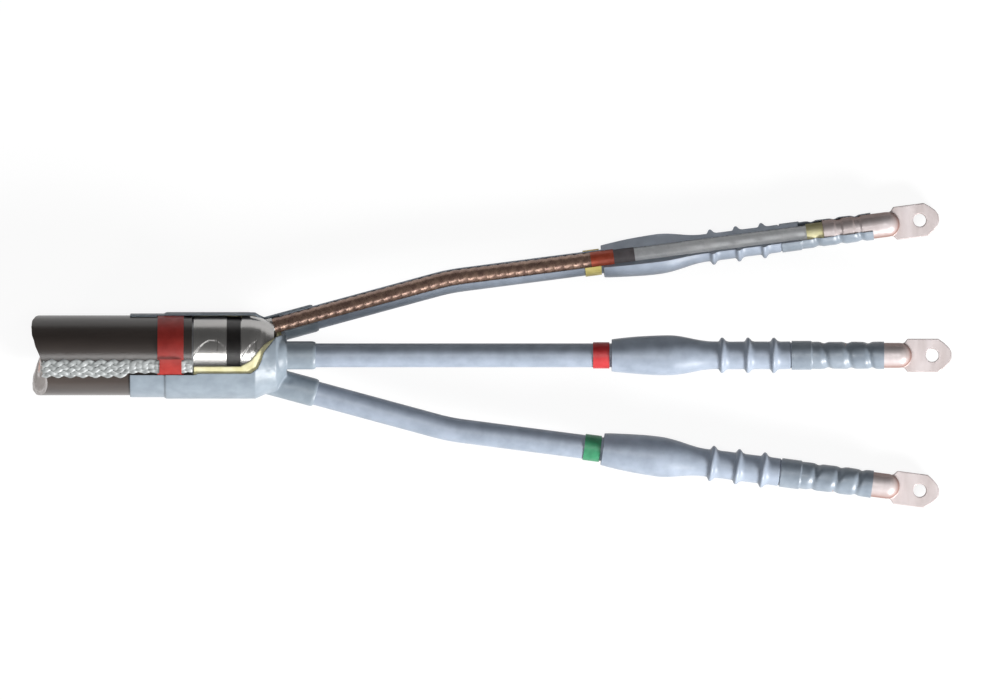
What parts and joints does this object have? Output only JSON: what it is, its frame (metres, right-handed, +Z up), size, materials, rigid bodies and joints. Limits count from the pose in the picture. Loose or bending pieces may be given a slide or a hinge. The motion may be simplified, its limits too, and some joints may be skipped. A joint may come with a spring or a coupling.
{
  "type": "cable termination",
  "caption": "Cutaway cold-shrink termination that fans an armoured power cable out of a finger boot into shedded cores, each ending in a crimped lug.",
  "frame": {"origin": "middle of the footprint, on the floor the sample lies on", "axes": "+X along the cable from the broken-off end to the lugs, +Y across the fan toward the cut-open phase, +Z up, toward the camera of the picture"},
  "size_m": [0.9196, 0.305, 0.086],
  "materials": {
    "sheath": "satin",
    "armour": "satin",
    "inner_sheath": "matte",
    "cable_filler": "matte",
    "braid": "tinned plait",
    "red_tape": "satin",
    "spring": "satin",
    "black_tape": "satin",
    "bond_sleeve": "satin",
    "yellow_mastic": "matte",
    "shrink_rubber": "satin",
    "copper": "satin",
    "insulation": "satin",
    "semicon": "matte",
    "copper_tape": "satin",
    "orange_band": "satin",
    "ring_yellow": "satin",
    "ring_red": "satin",
    "ring_green": "satin",
    "lug_metal": "tinned satin"
  },
  "bodies": {
    "root": {"cable_outer_sheath": "sheath", "armour": "armour", "inner_sheath": "inner_sheath", "cable_filler": "cable_filler", "earth_braid": "braid", "sealing_tape": "red_tape", "armour_spring": "spring", "insulating_band": "black_tape", "screen_spring": "spring", "bond_sleeve": "bond_sleeve", "crotch_filler": "yellow_mastic", "breakout_boot": "shrink_rubber", "conductor_a": "copper", "insulation_a": "insulation", "semicon_screen_a": "semicon", "copper_tape_a": "copper_tape", "copper_band_a": "orange_band", "insulating_tube_a": "shrink_rubber", "phase_ring_a": "ring_yellow", "termination_body_a": "shrink_rubber", "sealing_mastic_a": "yellow_mastic", "lug_sealing_tube_a": "shrink_rubber", "lug_a": "lug_metal", "conductor_b": "copper", "insulation_b": "insulation", "semicon_screen_b": "semicon", "copper_tape_b": "copper_tape", "copper_band_b": "orange_band", "insulating_tube_b": "shrink_rubber", "phase_ring_b": "ring_red", "termination_body_b": "shrink_rubber", "sealing_mastic_b": "yellow_mastic", "lug_sealing_tube_b": "shrink_rubber", "lug_b": "lug_metal", "conductor_c": "copper", "insulation_c": "insulation", "semicon_screen_c": "semicon", "copper_tape_c": "copper_tape", "copper_band_c": "orange_band", "insulating_tube_c": "shrink_rubber", "phase_ring_c": "ring_green", "termination_body_c": "shrink_rubber", "sealing_mastic_c": "yellow_mastic", "lug_sealing_tube_c": "shrink_rubber", "lug_c": "lug_metal"}
  },
  "joints": []
}
